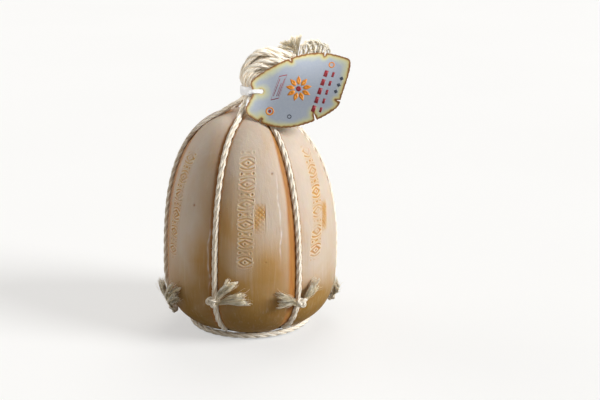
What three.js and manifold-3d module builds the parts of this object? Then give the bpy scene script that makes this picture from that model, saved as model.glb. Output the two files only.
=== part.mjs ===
// A whole melon-shaped provolone, tied with six cords that meet at a neck above the dome.
// Millimetres, +Z up. The origin is the centre of the flat spot that the cheese rests on.
// Azimuth 0 is the front (-Y) and grows towards +X.
import * as THREE from "three";
import { mergeVertices } from "three/addons/utils/BufferGeometryUtils.js";
import Module from "manifold-3d";

const wasm = await Module();
wasm.setup();

// Cheese: the dome is a little fuller on the left than on the right, and it leans to the right
const CROWN_RADIUS = 90.2;
const HEIGHT = 227;
const WIDEST_HEIGHT = 70;
const DOME_POWER = 2.5;
const DOME_POWER_TO_LEFT = 0.3;
const FOOT_DROP = 72.06;
const FOOT_POWER = 2.8;
const LEAN = 0.0156;
const VALLEY_DEPTH = 1.7;
const VALLEY_WIDTH = 10;
const CHANNEL_DEPTH = 3.1;
const CHANNEL_WIDTH = 4.2;
const UNEVENNESS = 0.5;
const BODY_ROWS = 24;
const SECTOR_DEGREES = [-20, -11, -5.6, -2.4, 0, 2.4, 5.6, 11, 20];

// Cords
const CORD_AZIMUTHS = [-83, -22, 34, 95, 155, 215];
const CORD_RADIUS = 2.95;
const CORD_GAP = 0.45;
const CORD_SIDES = 8;
const CORD_FOOT_RADIUS = 67.5;
const CORD_LEAVING_RADIUS = 33;
const GAP = 0.3;

// Neck
const NECK = new THREE.Vector3(-0.9, -2, 247);
const NECK_CORD_RADIUS = 1.7;
const NECK_CIRCLE = 3.75;
const NECK_ENTRY_DROP = 7;

// Foot ring, knots and their frayed tails
const RING_RADIUS = 61;
const RING_STEPS = 40;
const KNOT_HEIGHTS = [20, 51, 48, 26, 34, 30];
const KNOT_HALF_SIZES = new THREE.Vector3(6.6, 5.2, 4.3);
const KNOT_RIDGE = 0.1;
const TAIL_ROOT_RADIUS = 1.7;
const TAIL_HEAD_RADIUS = 4.6;
const TAIL_SIDES = 7;
const TAIL_STEPS = 5;
const TAIL_ROOT_RISE = 2.4;
const TAIL_BOW = 1.6;
const TAIL_STANDOFF = 1.2;
// Each knot's upper and lower tail: how far the head lies along the foot, and how far above the knot.
const TAIL_REACHES = [
  [[46, 32], [-12, 21]],
  [[20, 20], [34, 6]],
  [[20, 16], [-27, 7]],
  [[-16, 18], [20, 8]],
  [[18, 16], [-19, 6]],
  [[17, 17], [-21, 9]],
];

// Hank: stations of its middle line, with the radius of the whole bundle there
const HANK_STATIONS = [
  [-0.8, -2, 247.8, 5.3],
  [-0.9, -2, 252.6, 5.5],
  [-1.2, -0.6, 261, 8.2],
  [4, 1.5, 269.5, 10],
  [13.5, 2.5, 277, 11.6],
  [25, 3, 279.3, 11.9],
  [36, 3, 278.3, 9.6],
  [44.5, 2.5, 277.8, 6.1],
  [50, 2.5, 277.5, 5.2],
];
const HANK_OUTER_STRANDS = 8;
const HANK_STEPS = 14;
const HANK_TURNS = 0.32;
const WHIPPING_PLACE = 0.955;
const WHIPPING_BEHIND = 0.91;
const WHIPPING_LENGTH = 4;
const WHIPPING_THICKNESS = 1.3;

// Loose yarns beyond the whipping
const YARN_SIDES = 7;
const BRUSH_YARNS = 5;
const BRUSH_SPACING = 2.15;
const BRUSH_ROOT = new THREE.Vector3(51.2, 2.5, 280.3);
const BRUSH_BEND = new THREE.Vector3(0.4, 0, 5.2);
const BRUSH_ROOT_RADIUS = 0.85;
const BRUSH_HEAD_RADIUS = 1.9;
const BRUSH_LENGTH = 17;
const BRUSH_STEPS = 6;
const BRUSH_MIDDLE_DEGREES = 122;
const BRUSH_SPREAD_DEGREES = 18;
const BRUSH_SIDE_SPREAD = 0.06;
const CURLS = 4;
const CURL_SPACING = 2.6;
const CURL_ROOT = new THREE.Vector3(51.3, 2.5, 276);
const CURL_RADIUS = 1.2;
const CURL_HEIGHT = 20.5;
const CURL_SHIFT = 4.9;
const CURL_SINK = 1.4;
const CURL_STEPS = 12;

// Tag: a thin card that leans back on the hank and is turned a little to the left
const TAG_PLACE = new THREE.Vector3(10, -22.4, 247);
const TAG_TURN = -0.1;
const TAG_LEAN = 0.474;
const TAG_THICKNESS = 0.8;
const TAG_HOLE = new THREE.Vector2(3.4, 2.5);
const TAG_HOLE_RADIUS = 2.5;
const TAG_CORNERS = [
  [-5.2, 14.7],
  [26.9, 35.3],
  [57, 43.3],
  [82.7, 39.9],
  [91.8, 32.2],
  [84.5, 1],
  [79, -13],
  [56.4, -26.9],
  [31.5, -33.7],
  [9.2, -31.1],
  [-10.6, -19.1],
  [-5, 0],
];
// Burnt notches: the side they are in, how far along it, and their depth.
const TAG_NOTCHES = [
  [1, 0.12, 3.6],
  [2, 0.32, 3.2],
  [5, 0.36, 3.8],
  [6, 0.88, 8],
  [9, 0.24, 4.6],
];
const NOTCH_HALF_WIDTH = 1.2;

// Seal
const SEAL_INNER_RADIUS = 5.8;
const SEAL_OUTER_RADIUS = 7;
const SEAL_HEIGHT = 9.5;
const SEAL_SIDES = 20;
const SEAL_LUMP = new THREE.Vector3(4.4, 1.6, 4.2);
const BAND_ROUNDING = 0.6;
const STRAP_WIDTH = 3.4;
const STRAP_THICKNESS = 1.3;
const STRAP_STEPS = 14;

const material = (color, roughness) => new THREE.MeshStandardMaterial({ color, roughness, metalness: 0 });
const RIND = material(0xd8b995, 0.55);
const CORD = material(0xe9e0cb, 0.9);
const FRAY = material(0xd9cfa9, 0.95);
const PLASTIC = material(0xf4f4f2, 0.35);
const CARD = material(0xcfd3c4, 0.6);

const { degToRad, radToDeg, euclideanModulo, lerp, smoothstep } = THREE.MathUtils;

// The melon's half outline at an azimuth, radius against height: two superellipse arcs that meet at
// the widest level, the lower one cut off at the flat spot.
class MelonOutline extends THREE.Curve {
  constructor(azimuth) {
    super();
    this.domePower = DOME_POWER - DOME_POWER_TO_LEFT * Math.sin(degToRad(azimuth));
  }

  getPoint(t, target = new THREE.Vector2()) {
    const flat = Math.pow(WIDEST_HEIGHT / FOOT_DROP, FOOT_POWER / 2);
    const latitude = lerp(-Math.asin(flat), Math.PI / 2, t);
    const power = 2 / (latitude < 0 ? FOOT_POWER : this.domePower);
    const rise = latitude < 0 ? -FOOT_DROP : HEIGHT - WIDEST_HEIGHT;
    const radius = CROWN_RADIUS * Math.pow(Math.abs(Math.cos(latitude)), power);
    return target.set(radius, WIDEST_HEIGHT + rise * Math.pow(Math.abs(Math.sin(latitude)), power));
  }
}

const frontOutline = new MelonOutline(0);

// The outline's parameter where a test on its point starts to hold, searched between two parameters.
function outlineWhere(test, low, high) {
  for (let step = 0; step < 40; step++) {
    const middle = (low + high) / 2;
    if (test(frontOutline.getPoint(middle))) high = middle;
    else low = middle;
  }
  return (low + high) / 2;
}

const WIDEST_T = outlineWhere((point) => point.y > WIDEST_HEIGHT, 0, 1);
const FOOT_T = outlineWhere((point) => point.x > CORD_FOOT_RADIUS, 0, WIDEST_T);
const LEAVING_T = outlineWhere((point) => point.x < CORD_LEAVING_RADIUS, WIDEST_T, 1);
const heightOnOutline = (height) => outlineWhere((point) => point.y > height, 0, 1);

// Unit vector away from the axis, at an azimuth in degrees.
function outward(azimuth) {
  const angle = degToRad(azimuth);
  return new THREE.Vector3(Math.sin(angle), -Math.cos(angle), 0);
}

// Slow unevenness of the hand-shaped cheese, fading at the apex and the flat spot.
function unevenness(azimuth, point) {
  const angle = degToRad(azimuth);
  const wave = Math.sin(2 * angle + 0.8) + Math.sin(3 * angle - 0.4 + point.y / 60);
  return UNEVENNESS * wave * smoothstep(point.x, 10, 60) * smoothstep(point.y, 4, 40);
}

// Depth of the groove that the nearest cord has pressed in, at one place of the outline.
function grooveDepth(azimuth, point) {
  const turns = CORD_AZIMUTHS.map((cord) => Math.abs(euclideanModulo(azimuth - cord + 180, 360) - 180));
  const distance = degToRad(Math.min(...turns)) * point.x;
  const valley = VALLEY_DEPTH * Math.exp(-((distance / VALLEY_WIDTH) ** 2));
  const channel = CHANNEL_DEPTH * Math.exp(-((distance / CHANNEL_WIDTH) ** 2));
  const apexFade = smoothstep(point.x, 12, 42);
  const footFade = point.y < WIDEST_HEIGHT ? smoothstep(point.x, 44, 58) : 1;
  return (valley + channel) * apexFade * footFade;
}

// A place near the cheese's surface: lift is its height above the ungrooved form, along the normal.
function nearSurface(t, azimuth, lift, grooved) {
  const outline = new MelonOutline(azimuth);
  const point = outline.getPoint(t);
  const tangent = outline.getTangent(t);
  const height = lift + unevenness(azimuth, point) - (grooved ? grooveDepth(azimuth, point) : 0);
  const radius = Math.max(point.x + tangent.y * height, 0);
  const place = outward(azimuth).multiplyScalar(radius).setZ(Math.max(point.y - tangent.x * height, 0));
  return place.setX(place.x + LEAN * place.z);
}

// One closed body through rings of the same number of points, listed anticlockwise seen from the last ring.
function loft(rings) {
  const count = rings[0].length;
  const positions = rings.flat().flatMap((p) => [p.x, p.y, p.z]);
  const faces = [];
  for (let ring = 0; ring + 1 < rings.length; ring++)
    for (let side = 0; side < count; side++) {
      const a = ring * count + side;
      const b = ring * count + ((side + 1) % count);
      faces.push(a, b, b + count, a, b + count, a + count);
    }
  for (const ring of [0, rings.length - 1]) {
    const middle = rings[ring].reduce((sum, p) => sum.add(p), new THREE.Vector3()).divideScalar(count);
    const centre = positions.length / 3;
    positions.push(middle.x, middle.y, middle.z);
    for (let side = 0; side < count; side++) {
      const a = ring * count + side;
      const b = ring * count + ((side + 1) % count);
      if (ring === 0) faces.push(centre, b, a);
      else faces.push(centre, a, b);
    }
  }
  const geometry = new THREE.BufferGeometry();
  geometry.setAttribute("position", new THREE.Float32BufferAttribute(positions, 3));
  geometry.setIndex(faces);
  geometry.computeVertexNormals();
  return geometry;
}

// A tube through points, with its own radius at each one. An extrusion keeps one section, so this is lofted.
function tube(points, radii, sides, flatness = 1) {
  const normal = new THREE.Vector3(0, 1, 0);
  const rings = points.map((point, index) => {
    const ahead = points[Math.min(index + 1, points.length - 1)];
    const behind = points[Math.max(index - 1, 0)];
    const tangent = ahead.clone().sub(behind).normalize();
    normal.addScaledVector(tangent, -normal.dot(tangent)).normalize();
    const binormal = new THREE.Vector3().crossVectors(tangent, normal);
    return Array.from({ length: sides }, (_, side) => {
      const angle = (2 * Math.PI * side) / sides;
      return point
        .clone()
        .addScaledVector(normal, radii[index] * Math.cos(angle) * flatness)
        .addScaledVector(binormal, radii[index] * Math.sin(angle));
    });
  });
  return loft(rings);
}

// Points spaced evenly along a smooth curve through a few others.
function smoothPath(points, steps) {
  return new THREE.CatmullRomCurve3(points, false, "centripetal").getSpacedPoints(steps);
}

function manifoldOf(geometry) {
  const bare = geometry.index ? geometry.toNonIndexed() : geometry.clone();
  bare.deleteAttribute("normal");
  bare.deleteAttribute("uv");
  const merged = mergeVertices(bare, 1e-3);
  return new wasm.Manifold(
    new wasm.Mesh({
      numProp: 3,
      vertProperties: merged.attributes.position.array,
      triVerts: new Uint32Array(merged.index.array),
    }),
  );
}

// Several closed geometries joined into one.
function fuse(geometries) {
  const joined = geometries.map(manifoldOf).reduce((sum, next) => sum.add(next));
  const mesh = joined.getMesh();
  const geometry = new THREE.BufferGeometry();
  geometry.setAttribute("position", new THREE.Float32BufferAttribute(mesh.vertProperties, mesh.numProp));
  geometry.setIndex(Array.from(mesh.triVerts));
  geometry.computeVertexNormals();
  return geometry;
}

const model = new THREE.Group();

function add(name, geometry, finish) {
  const mesh = new THREE.Mesh(geometry, finish);
  mesh.name = name;
  model.add(mesh);
}

// The rows of the cheese, evenly spaced along its outline.
const BODY_TS = Array.from({ length: BODY_ROWS }, (_, row) => frontOutline.getUtoTmapping(row / BODY_ROWS));

// The cheese: one ring per row, with more points beside each groove.
function cheese() {
  const azimuths = CORD_AZIMUTHS.flatMap((cord, index) => {
    const next = CORD_AZIMUTHS[(index + 1) % CORD_AZIMUTHS.length];
    const faceMiddle = cord + euclideanModulo(next - cord, 360) / 2;
    return [...SECTOR_DEGREES.map((degrees) => cord + degrees), faceMiddle];
  }).sort((a, b) => a - b);
  const geometry = loft(BODY_TS.map((t) => azimuths.map((azimuth) => nearSurface(t, azimuth, 0, true))));
  const positions = geometry.attributes.position;
  positions.setXYZ(positions.count - 1, LEAN * HEIGHT, 0, HEIGHT);
  geometry.computeVertexNormals();
  return geometry;
}

// One cord: up its groove on the cheese's own rows, then taut and squeezed into the neck.
function cord(index) {
  const azimuth = CORD_AZIMUTHS[index];
  const stops = [FOOT_T, ...BODY_TS.filter((t) => t > FOOT_T && t < LEAVING_T), LEAVING_T];
  const points = stops.map((t) => nearSurface(t, azimuth, CORD_RADIUS + CORD_GAP, true));
  const radii = points.map(() => CORD_RADIUS);
  const inNeck = NECK.clone().addScaledVector(outward(azimuth), NECK_CIRCLE);
  const entry = inNeck.clone().setZ(NECK.z - NECK_ENTRY_DROP);
  const leaving = points[points.length - 1];
  for (const share of [0.35, 0.7]) {
    points.push(leaving.clone().lerp(entry, share));
    radii.push(lerp(CORD_RADIUS, NECK_CORD_RADIUS, share));
  }
  points.push(entry, inNeck);
  radii.push(NECK_CORD_RADIUS, NECK_CORD_RADIUS);
  return tube(points, radii, CORD_SIDES);
}

// The ring of cord round the underside, that the six cords are tied to.
function footRing() {
  const t = outlineWhere((point) => point.x > RING_RADIUS, 0, WIDEST_T);
  const centre = nearSurface(t, 0, CORD_RADIUS + CORD_GAP + UNEVENNESS, false);
  return new THREE.TorusGeometry(RING_RADIUS, CORD_RADIUS, CORD_SIDES, RING_STEPS).translate(0, 0, centre.z);
}

// A knot's place: its centre, and the directions along the foot, up the outline and off the cheese.
function knotFrame(index) {
  const azimuth = CORD_AZIMUTHS[index];
  const t = heightOnOutline(KNOT_HEIGHTS[index]);
  const tangent = frontOutline.getTangent(t);
  const around = outward(azimuth + 90);
  const up = outward(azimuth).multiplyScalar(tangent.x).setZ(tangent.y);
  const lift = 2 * CORD_RADIUS + CORD_GAP + GAP + KNOT_HALF_SIZES.z * (1 + KNOT_RIDGE);
  const centre = nearSurface(t, azimuth, lift, true);
  return { centre, around, up, away: new THREE.Vector3().crossVectors(around, up) };
}

// A knot: a rounded lump with the slanting ridges of its wraps.
function knot(index) {
  const ball = new THREE.SphereGeometry(1, 12, 8);
  const positions = ball.attributes.position;
  const point = new THREE.Vector3();
  for (let i = 0; i < positions.count; i++) {
    point.fromBufferAttribute(positions, i);
    const turn = Math.atan2(point.z, point.x);
    const ridge = 1 + KNOT_RIDGE * Math.sin(3 * turn + 2 * point.y) * (1 - point.y * point.y);
    point.multiplyScalar(ridge).multiply(KNOT_HALF_SIZES);
    positions.setXYZ(i, point.x, point.y, point.z);
  }
  const { centre, around, up, away } = knotFrame(index);
  return ball.applyMatrix4(new THREE.Matrix4().makeBasis(around, up, away).setPosition(centre));
}

// A frayed tail: from beside the knot along the cheese, swelling to a brush-like head.
function tail(index, [reach, rise], isUpper) {
  const { centre, around, up } = knotFrame(index);
  const beside = KNOT_HALF_SIZES.x * (1 + KNOT_RIDGE) + TAIL_ROOT_RADIUS;
  const start = centre
    .addScaledVector(around, Math.sign(reach) * beside)
    .addScaledVector(up, isUpper ? TAIL_ROOT_RISE : -TAIL_ROOT_RISE);
  const turn = radToDeg(reach / CROWN_RADIUS);
  const onCheese = (share, lift) => {
    const t = heightOnOutline(KNOT_HEIGHTS[index] + rise * share);
    return nearSurface(t, CORD_AZIMUTHS[index] + turn * share, lift, false);
  };
  const lift = TAIL_HEAD_RADIUS + TAIL_STANDOFF;
  const path = smoothPath([start, onCheese(0.65, lift + TAIL_BOW), onCheese(1, lift)], TAIL_STEPS);
  const swell = (step) => (step / TAIL_STEPS) ** 1.6;
  const radii = path.map((_, step) => lerp(TAIL_ROOT_RADIUS, TAIL_HEAD_RADIUS, swell(step)));
  return tube(path, radii, TAIL_SIDES);
}

const hankLine = new THREE.CatmullRomCurve3(
  HANK_STATIONS.map(([x, y, z]) => new THREE.Vector3(x, y, z)),
  false,
  "centripetal",
);
const hankSwell = new THREE.SplineCurve(
  HANK_STATIONS.map(([, , , radius], station) => new THREE.Vector2(station, radius)),
);

// The hank's middle, bundle radius and cross directions at a share of its stations.
function hankAt(share) {
  const centre = hankLine.getPoint(share);
  const tangent = hankLine.getTangent(share);
  const sideways = new THREE.Vector3(0, 1, 0);
  sideways.addScaledVector(tangent, -sideways.dot(tangent)).normalize();
  const over = new THREE.Vector3().crossVectors(tangent, sideways);
  return { centre, tangent, sideways, over, radius: hankSwell.getPoint(share).y };
}

// One strand of the hank: the last index is the middle one, and the others lie round it.
function hankStrand(index) {
  const inMiddle = index === HANK_OUTER_STRANDS;
  const packing = Math.sin(Math.PI / HANK_OUTER_STRANDS);
  const points = [];
  const radii = [];
  for (let step = 0; step <= HANK_STEPS; step++) {
    const share = step / HANK_STEPS;
    const { centre, sideways, over, radius } = hankAt(share);
    const strand = (radius * packing) / (1 + packing) - GAP / 2;
    const circle = inMiddle ? 0 : radius - strand - GAP / 2;
    const angle = 2 * Math.PI * (index / HANK_OUTER_STRANDS + HANK_TURNS * share);
    points.push(
      centre
        .addScaledVector(sideways, circle * Math.cos(angle))
        .addScaledVector(over, circle * Math.sin(angle)),
    );
    radii.push(strand);
  }
  return tube(points, radii, CORD_SIDES);
}

// A band round the +Y axis: its inner radius, its thickness and its length, with rounded edges.
function band(inner, thickness, length, sides) {
  const half = length / 2;
  const outer = inner + thickness;
  const shoulder = inner + thickness * BAND_ROUNDING;
  const crest = half * BAND_ROUNDING;
  const profile = [
    [inner, -half],
    [shoulder, -half],
    [outer, -crest],
    [outer, crest],
    [shoulder, half],
    [inner, half],
    [inner, -half],
  ].map(([x, y]) => new THREE.Vector2(x, y));
  return new THREE.LatheGeometry(profile, sides);
}

// The tight cord band near the hank's free end.
function whipping() {
  const { centre, tangent, radius } = hankAt(WHIPPING_PLACE);
  const inner = Math.max(radius, hankAt(WHIPPING_BEHIND).radius) + 2 * GAP;
  const turn = new THREE.Quaternion().setFromUnitVectors(new THREE.Vector3(0, 1, 0), tangent);
  return band(inner, WHIPPING_THICKNESS, WHIPPING_LENGTH, SEAL_SIDES)
    .applyQuaternion(turn)
    .translate(centre.x, centre.y, centre.z);
}

// One yarn of the brush: out of the whipping, then up and back to the left.
function brushYarn(index) {
  const offset = index - (BRUSH_YARNS - 1) / 2;
  const root = BRUSH_ROOT.clone();
  root.y += offset * BRUSH_SPACING;
  const angle = degToRad(BRUSH_MIDDLE_DEGREES + offset * BRUSH_SPREAD_DEGREES);
  const way = new THREE.Vector3(Math.cos(angle), offset * BRUSH_SIDE_SPREAD, Math.sin(angle));
  const bend = root.clone().add(BRUSH_BEND);
  const half = bend.clone().addScaledVector(way, BRUSH_LENGTH / 2);
  const head = bend.clone().addScaledVector(way, BRUSH_LENGTH);
  const path = smoothPath([root, bend, half, head], BRUSH_STEPS);
  const swell = (step) => (step / BRUSH_STEPS) ** 1.5;
  const radii = path.map((_, step) => lerp(BRUSH_ROOT_RADIUS, BRUSH_HEAD_RADIUS, swell(step)));
  return tube(path, radii, YARN_SIDES);
}

// One curling yarn: out of the whipping to the right, up, over and down again.
function curl(index) {
  const root = CURL_ROOT.clone();
  root.y += (index - (CURLS - 1) / 2) * CURL_SPACING;
  const shift = CURL_SHIFT * index;
  const top = CURL_HEIGHT - CURL_SINK * index;
  const route = [
    [0, 0],
    [4.5 + 0.7 * shift, 1],
    [6 + shift, top * 0.45],
    [8.5 + shift, top - 1.5],
    [13.5 + shift, top],
    [18 + shift, top - 3.5],
    [20 + shift, top - 10],
  ].map(([x, z]) => root.clone().add(new THREE.Vector3(x, 0, z)));
  const path = smoothPath(route, CURL_STEPS);
  return tube(path, path.map(() => CURL_RADIUS), YARN_SIDES);
}

const tagRight = new THREE.Vector3(1, TAG_TURN, 0).normalize();
const tagFront = new THREE.Vector3(TAG_TURN, -1, TAG_LEAN).normalize();
const tagUp = new THREE.Vector3().crossVectors(tagFront, tagRight);

// A point of the tag's own plane, set a height in front of it.
function onTag(across, along, height) {
  return TAG_PLACE.clone()
    .addScaledVector(tagRight, across)
    .addScaledVector(tagUp, along)
    .addScaledVector(tagFront, height);
}

// The card's outline: each side a bowed curve between two corners, some with a burnt notch.
function tagShape() {
  const corners = TAG_CORNERS.map(([x, y]) => new THREE.Vector2(x, y));
  const rim = new THREE.SplineCurve([...corners, corners[0]]);
  const points = [];
  for (let side = 0; side < corners.length; side++) {
    points.push(corners[side]);
    const notch = TAG_NOTCHES.find(([at]) => at === side);
    if (!notch) {
      points.push(rim.getPoint((side + 0.5) / corners.length));
      continue;
    }
    const [, share, depth] = notch;
    const spot = rim.getPoint((side + share) / corners.length);
    const way = rim.getTangent((side + share) / corners.length);
    const inward = new THREE.Vector2(way.y, -way.x);
    points.push(
      spot.clone().addScaledVector(way, -NOTCH_HALF_WIDTH),
      spot.clone().addScaledVector(inward, depth),
      spot.clone().addScaledVector(way, NOTCH_HALF_WIDTH),
    );
  }
  const shape = new THREE.Shape(points);
  shape.holes.push(new THREE.Path().absarc(TAG_HOLE.x, TAG_HOLE.y, TAG_HOLE_RADIUS, 0, 2 * Math.PI));
  return shape;
}

function tag() {
  const card = new THREE.ExtrudeGeometry(tagShape(), {
    depth: TAG_THICKNESS,
    bevelEnabled: false,
    curveSegments: 8,
  });
  card.translate(0, 0, -TAG_THICKNESS / 2);
  return card.applyMatrix4(new THREE.Matrix4().makeBasis(tagRight, tagUp, tagFront).setPosition(TAG_PLACE));
}

// The seal: a band round the neck, a lump where it locks, and a strap through the tag's hole.
function seal() {
  const thickness = SEAL_OUTER_RADIUS - SEAL_INNER_RADIUS;
  const ring = band(SEAL_INNER_RADIUS, thickness, SEAL_HEIGHT, SEAL_SIDES)
    .rotateX(Math.PI / 2)
    .translate(NECK.x, NECK.y, NECK.z);
  const front = new THREE.Vector3(NECK.x + 1, NECK.y - SEAL_OUTER_RADIUS, NECK.z);
  const lump = new THREE.SphereGeometry(1, 10, 8);
  lump.scale(SEAL_LUMP.x, SEAL_LUMP.y, SEAL_LUMP.z).translate(front.x, front.y, front.z);
  const inFront = TAG_THICKNESS / 2 + GAP + STRAP_THICKNESS;
  const route = [
    front.clone().add(new THREE.Vector3(0, 0.6, -0.5)),
    onTag(-9.5, 1, -8),
    onTag(-8.5, 1.6, -1),
    onTag(-5, 2, inFront),
    onTag(TAG_HOLE.x - 3, TAG_HOLE.y, inFront + 0.2),
    onTag(TAG_HOLE.x - 0.2, TAG_HOLE.y, 0.6),
    onTag(TAG_HOLE.x + 0.2, TAG_HOLE.y, -2),
  ];
  const path = smoothPath(route, STRAP_STEPS);
  const strap = tube(path, path.map(() => STRAP_THICKNESS / 2), 8, STRAP_WIDTH / STRAP_THICKNESS);
  return fuse([ring, lump, strap]);
}

add("cheese_body", cheese(), RIND);
for (let index = 0; index < CORD_AZIMUTHS.length; index++) {
  const number = index + 1;
  const [upper, lower] = TAIL_REACHES[index];
  add(`cord_${number}`, cord(index), CORD);
  add(`knot_${number}`, knot(index), CORD);
  add(`tail_${number}_1`, tail(index, upper, true), FRAY);
  add(`tail_${number}_2`, tail(index, lower, false), FRAY);
}
add("foot_ring", footRing(), CORD);
for (let index = 0; index <= HANK_OUTER_STRANDS; index++) {
  add(`hank_strand_${index + 1}`, hankStrand(index), CORD);
}
add("whipping", whipping(), CORD);
for (let index = 0; index < BRUSH_YARNS; index++) {
  add(`brush_yarn_${index + 1}`, brushYarn(index), FRAY);
}
for (let index = 0; index < CURLS; index++) {
  add(`curl_${index + 1}`, curl(index), FRAY);
}
add("seal", seal(), PLASTIC);
add("tag", tag(), CARD);

export default model;
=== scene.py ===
import math

import bpy
import numpy as np
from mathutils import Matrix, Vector, geometry


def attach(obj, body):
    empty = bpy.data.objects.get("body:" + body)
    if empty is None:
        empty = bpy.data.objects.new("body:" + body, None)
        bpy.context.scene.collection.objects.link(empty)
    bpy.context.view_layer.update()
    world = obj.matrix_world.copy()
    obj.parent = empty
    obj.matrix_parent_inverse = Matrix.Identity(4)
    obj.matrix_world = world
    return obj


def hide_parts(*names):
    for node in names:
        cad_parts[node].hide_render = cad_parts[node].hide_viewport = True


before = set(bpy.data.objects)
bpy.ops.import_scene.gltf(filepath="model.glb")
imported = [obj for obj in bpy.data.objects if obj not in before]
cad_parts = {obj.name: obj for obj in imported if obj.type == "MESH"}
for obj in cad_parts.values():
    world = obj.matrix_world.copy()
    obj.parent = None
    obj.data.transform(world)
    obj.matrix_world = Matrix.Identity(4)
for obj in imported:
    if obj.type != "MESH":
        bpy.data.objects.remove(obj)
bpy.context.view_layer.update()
random = np.random.default_rng(7)

MM = 0.001

# Cheese, as in the solids
CROWN_RADIUS = 90.2
HEIGHT = 227.0
WIDEST_HEIGHT = 70.0
DOME_POWER = 2.5
DOME_POWER_TO_LEFT = 0.3
FOOT_DROP = 72.06
FOOT_POWER = 2.8
LEAN = 0.0156
VALLEY_DEPTH = 1.7
VALLEY_WIDTH = 10.0
CHANNEL_DEPTH = 3.1
CHANNEL_WIDTH = 2.7
SHELF_DEPTH = 1.5
UNEVENNESS = 0.5
CORD_AZIMUTHS = [-83.0, -22.0, 34.0, 95.0, 155.0, 215.0]
# How far the coloured side of each groove reaches from the cord's middle, to its left and its right.
GROOVE_REACHES = np.array([(6.5, 23.0), (6.0, 5.0), (11.5, 4.4), (6.5, 6.0), (6.0, 7.0), (7.0, 6.0)])
NARROW_REACH = 5.8
CORD_RADIUS = 2.95
CORD_GAP = 0.1
CORD_LIFT = CORD_RADIUS + CORD_GAP
LEAVING_RADIUS = 33.0
NECK = np.array([-0.9, -2.0, 247.0])
NECK_CIRCLE = 3.75
NECK_ENTRY_DROP = 7.0
RING_RADIUS = 61.0
KNOT_HEIGHTS = [20, 51, 48, 26, 34, 30]

# Camera
CAMERA_PLACE = (52.4, -1393.83, 530.17)
CAMERA_ELEVATION = 16.0
CAMERA_LENS = 84.06
HANK_AIM = (42.0, 0.0, 296.0)
BRUSH_AIM = (60.0, 0.0, 297.0)
SEAL_AIM = (-5.0, -8.0, 241.0)


def smoothstep(value, low, high):
    share = np.clip((value - low) / (high - low), 0, 1)
    return share * share * (3 - 2 * share)


def mix(a, b, share):
    return a + (b - a) * share


def bell(value, width, power=2):
    """1 where the value is 0, falling to 0 beside it. A higher even power gives a flatter top."""
    return np.exp(-((value / width) ** power))


def within(value, low, low_full, high, high_full):
    """0 outside a low and a high limit, easing to 1 between the two full values."""
    return smoothstep(value, low, low_full) * smoothstep(value, high, high_full)


def unit(vectors):
    return vectors / np.maximum(np.linalg.norm(vectors, axis=-1, keepdims=True), 1e-9)


# The cheese's surface


def melon(t, azimuth):
    """Radius and height of the melon's outline at parameter t, at an azimuth in degrees."""
    flat = (WIDEST_HEIGHT / FOOT_DROP) ** (FOOT_POWER / 2)
    latitude = mix(-math.asin(flat), math.pi / 2, t)
    dome_power = DOME_POWER - DOME_POWER_TO_LEFT * np.sin(np.radians(azimuth))
    power = 2 / np.where(latitude < 0, FOOT_POWER, dome_power)
    rise = np.where(latitude < 0, -FOOT_DROP, HEIGHT - WIDEST_HEIGHT)
    radius = CROWN_RADIUS * np.abs(np.cos(latitude)) ** power
    return radius, WIDEST_HEIGHT + rise * np.abs(np.sin(latitude)) ** power


TABLE_T = np.linspace(0, 1, 4001)
TABLE_RADIUS, TABLE_HEIGHT = melon(TABLE_T, 0.0)


def t_at_height(height):
    return np.interp(height, TABLE_HEIGHT, TABLE_T)


WIDEST_T = t_at_height(WIDEST_HEIGHT)


def t_at_radius(radius, in_dome):
    side = TABLE_T > WIDEST_T if in_dome else TABLE_T <= WIDEST_T
    order = np.argsort(TABLE_RADIUS[side])
    return np.interp(radius, TABLE_RADIUS[side][order], TABLE_T[side][order])


def outward(azimuth):
    angle = np.radians(azimuth)
    return np.stack([np.sin(angle), -np.cos(angle), np.zeros_like(angle)], axis=-1)


def turn_from(azimuth, other):
    """Degrees from another azimuth to this one, between -180 and 180."""
    return (azimuth - other + 180) % 360 - 180


def arc_from(azimuth, other, radius):
    """The way round the cheese from another azimuth to this one."""
    return np.radians(turn_from(azimuth, other)) * radius


def cord_offset(azimuth):
    """Degrees from the nearest cord, positive towards growing azimuth, and that cord's index."""
    turns = np.stack([turn_from(azimuth, cord) for cord in CORD_AZIMUTHS])
    nearest = np.argmin(np.abs(turns), axis=0)
    return np.take_along_axis(turns, nearest[None], axis=0)[0], nearest


def groove_reach(offset, nearest, radius):
    reach = np.where(offset < 0, GROOVE_REACHES[nearest, 0], GROOVE_REACHES[nearest, 1])
    return mix(np.minimum(reach, NARROW_REACH), reach, smoothstep(radius, 38, 82))


def groove_depth(azimuth, radius, height):
    """A broad valley, a shelf as wide as the coloured side, and the channel that the cord lies in."""
    offset, nearest = cord_offset(azimuth)
    distance = np.radians(np.abs(offset)) * radius
    reach = groove_reach(offset, nearest, radius)
    shelf = SHELF_DEPTH * bell(distance, reach * 0.86, 6) * smoothstep(reach, 4.0, 6.0)
    channel = CHANNEL_DEPTH * bell(distance, CHANNEL_WIDTH, 4)
    depth = VALLEY_DEPTH * bell(distance, VALLEY_WIDTH) + np.maximum(channel, shelf)
    foot_fade = np.where(height < WIDEST_HEIGHT, smoothstep(radius, 44, 58), 1)
    return depth * smoothstep(radius, 12, 42) * foot_fade


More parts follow.
